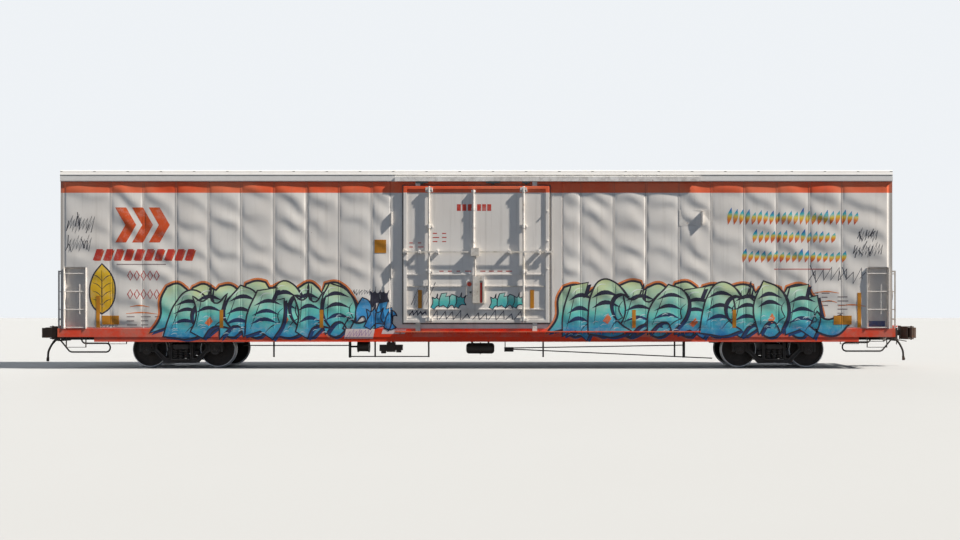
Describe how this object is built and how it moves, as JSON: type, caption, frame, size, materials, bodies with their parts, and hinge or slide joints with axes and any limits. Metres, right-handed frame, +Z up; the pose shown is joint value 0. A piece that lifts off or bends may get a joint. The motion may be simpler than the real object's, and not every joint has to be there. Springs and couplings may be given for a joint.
{
  "type": "refrigerator car",
  "caption": "Insulated railway refrigerator car with sliding plug doors, recessed corner ladders, swivelling trucks, turning wheelsets and swinging couplers.",
  "frame": {"origin": "under the middle of the car, on the plane that the wheel flanges' lowest points touch", "axes": "+X along the car towards the B end, +Y to its left side, +Z up"},
  "size_m": [23.452, 3.364, 5.1622],
  "materials": {
    "body_white": "weathered semi-gloss paint",
    "underframe_black": "matt weathered paint",
    "sill_orange": "weathered semi-gloss paint",
    "roof_metal": "weathered paint",
    "truck_black": "grimy cast steel",
    "coupler_iron": "rusted cast steel",
    "hose_rubber": "dusty black rubber",
    "wheel_steel": "worn tread, dusty plate"
  },
  "bodies": {
    "carbody": {"centre_sill": "underframe_black", "strikers": "underframe_black", "cushion_units": "underframe_black", "body_bolsters": "underframe_black", "cross_bearers": "underframe_black", "side_sills": "sill_orange", "end_sills": "sill_orange", "jacking_pads": "underframe_black", "floor": "body_white", "side_wall_right": "body_white", "side_wall_left": "body_white", "end_wall_a": "body_white", "end_wall_b": "body_white", "corner_posts": "body_white", "roof": "roof_metal", "top_rails": "body_white", "door_posts": "body_white", "door_tracks": "body_white", "plug_door_right": "body_white", "plug_door_left": "body_white", "door_gear_right": "body_white", "door_gear_left": "body_white", "door_stops": "body_white", "corner_ladders": "body_white", "end_ladders": "body_white", "sill_steps": "sill_orange", "end_platforms": "sill_orange", "uncoupling_levers": "underframe_black", "hand_brake": "body_white", "brake_rods": "underframe_black", "brake_cylinder": "underframe_black", "control_valve": "underframe_black", "air_reservoir": "underframe_black", "brake_pipe": "underframe_black", "angle_cocks": "underframe_black", "air_hose_a": "hose_rubber", "air_hose_b": "hose_rubber", "hose_coupling_a": "coupler_iron", "hose_coupling_b": "coupler_iron"},
    "truck_a": {"truck_bolster_a": "truck_black", "side_frames_a": "truck_black", "springs_a": "truck_black", "brake_beams_a": "truck_black", "bearings_a": "truck_black"},
    "truck_b": {"truck_bolster_b": "truck_black", "side_frames_b": "truck_black", "springs_b": "truck_black", "brake_beams_b": "truck_black", "bearings_b": "truck_black"},
    "wheelset_1": {"wheelset_1": "wheel_steel"},
    "wheelset_2": {"wheelset_2": "wheel_steel"},
    "wheelset_3": {"wheelset_3": "wheel_steel"},
    "wheelset_4": {"wheelset_4": "wheel_steel"},
    "coupler_a": {"coupler_a": "coupler_iron"},
    "knuckle_a": {"knuckle_a": "coupler_iron"},
    "coupler_b": {"coupler_b": "coupler_iron"},
    "knuckle_b": {"knuckle_b": "coupler_iron"}
  },
  "joints": [
    {"name": "truck_a_swivel", "type": "hinge", "parent": "carbody", "child": "truck_a", "pos_m": [-7.73, 0, 0.68], "axis": [0, 0, 1], "range_deg": [-8, 8]},
    {"name": "truck_b_swivel", "type": "hinge", "parent": "carbody", "child": "truck_b", "pos_m": [7.73, 0, 0.68], "axis": [0, 0, 1], "range_deg": [-8, 8]},
    {"name": "axle_1_turn", "type": "hinge", "parent": "truck_a", "child": "wheelset_1", "pos_m": [-8.619, 0, 0.4826], "axis": [0, 1, 0], "continuous": true},
    {"name": "axle_2_turn", "type": "hinge", "parent": "truck_a", "child": "wheelset_2", "pos_m": [-6.841, 0, 0.4826], "axis": [0, 1, 0], "continuous": true},
    {"name": "axle_3_turn", "type": "hinge", "parent": "truck_b", "child": "wheelset_3", "pos_m": [6.841, 0, 0.4826], "axis": [0, 1, 0], "continuous": true},
    {"name": "axle_4_turn", "type": "hinge", "parent": "truck_b", "child": "wheelset_4", "pos_m": [8.619, 0, 0.4826], "axis": [0, 1, 0], "continuous": true},
    {"name": "coupler_a_swing", "type": "hinge", "parent": "carbody", "child": "coupler_a", "pos_m": [-10.56, 0, 0.9014], "axis": [0, 0, 1], "range_deg": [-7, 7]},
    {"name": "knuckle_a_turn", "type": "hinge", "parent": "coupler_a", "child": "knuckle_a", "pos_m": [-11.57, 0.15, 0.9014], "axis": [0, 0, -1], "range_deg": [0, 45]},
    {"name": "coupler_b_swing", "type": "hinge", "parent": "carbody", "child": "coupler_b", "pos_m": [10.56, 0, 0.9014], "axis": [0, 0, 1], "range_deg": [-7, 7]},
    {"name": "knuckle_b_turn", "type": "hinge", "parent": "coupler_b", "child": "knuckle_b", "pos_m": [11.57, -0.15, 0.9014], "axis": [0, 0, -1], "range_deg": [0, 45]}
  ]
}
